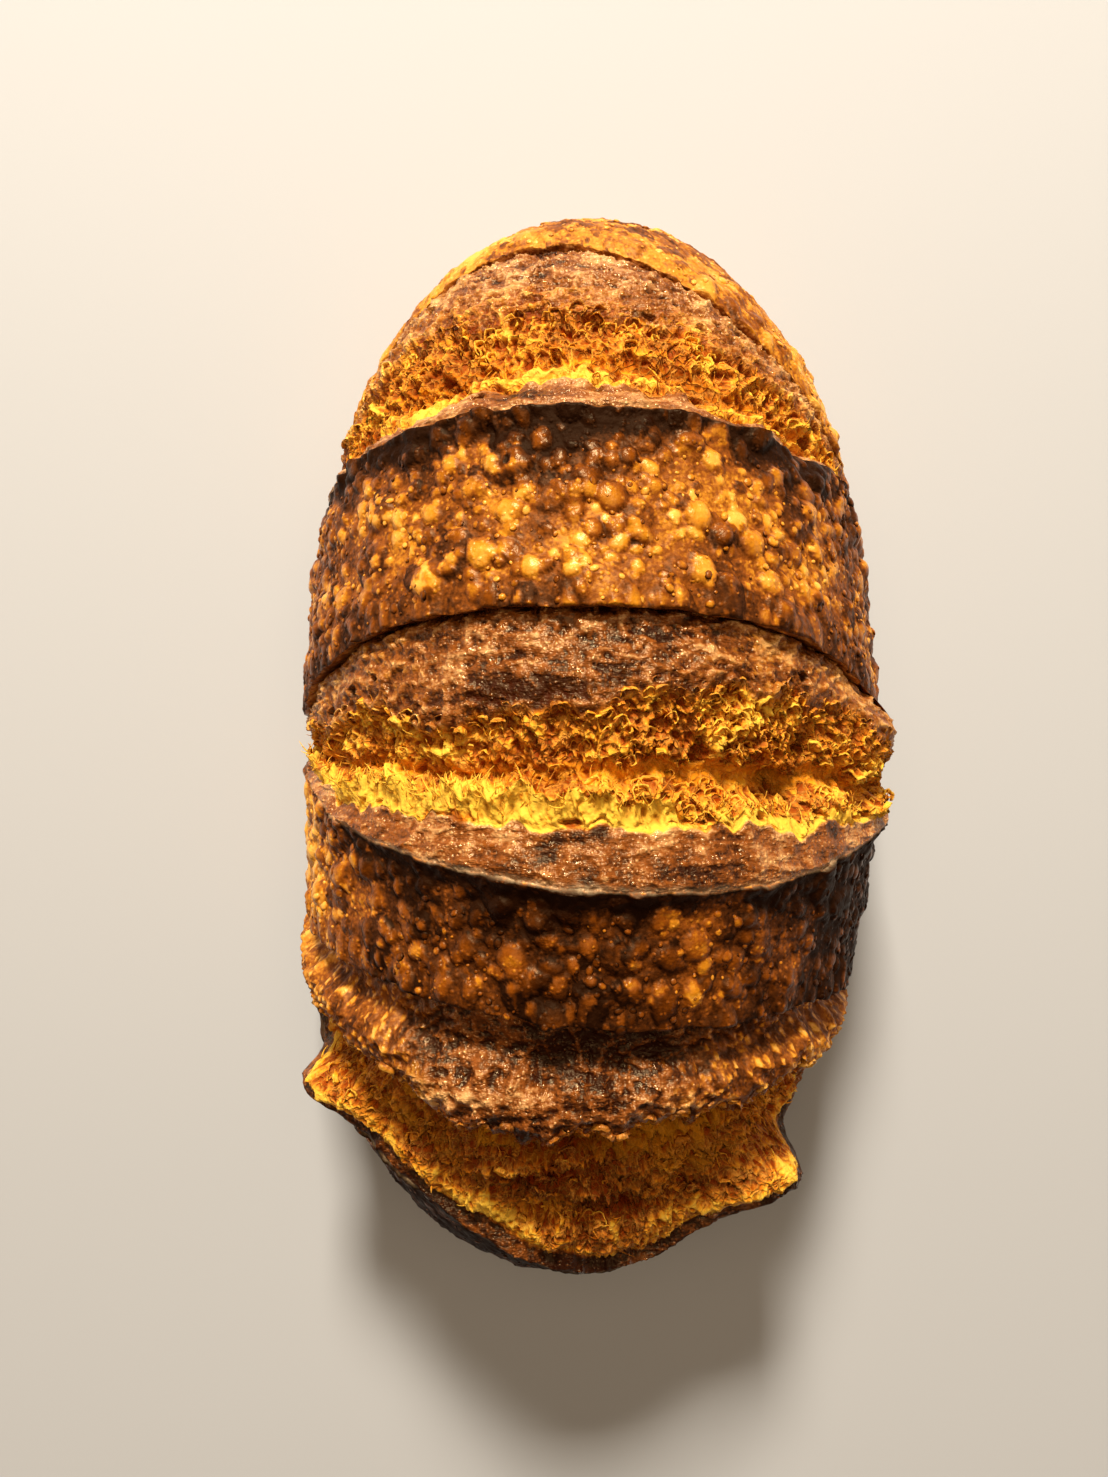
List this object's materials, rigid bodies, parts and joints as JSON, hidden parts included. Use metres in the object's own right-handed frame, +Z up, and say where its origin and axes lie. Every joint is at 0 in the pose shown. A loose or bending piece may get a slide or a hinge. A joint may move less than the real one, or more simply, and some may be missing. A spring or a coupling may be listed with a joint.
{
  "type": "sourdough loaf",
  "caption": "Whole long oval hearth loaf with a flat base and wide scored openings across its blistered crust, showing torn crumb.",
  "frame": {"origin": "middle of the loaf's flat base, on the surface it stands on", "axes": "+Y along the loaf towards the end nearest its first scored opening, +Z up through the crown, +X to the right seen from above"},
  "size_m": [0.1486, 0.2618, 0.1075],
  "materials": {
    "baked_crust": "dark-baked blistered crust with open golden crumb, satin on the blisters and matt in the tears"
  },
  "bodies": {
    "root": {"loaf": "baked_crust"}
  },
  "joints": []
}
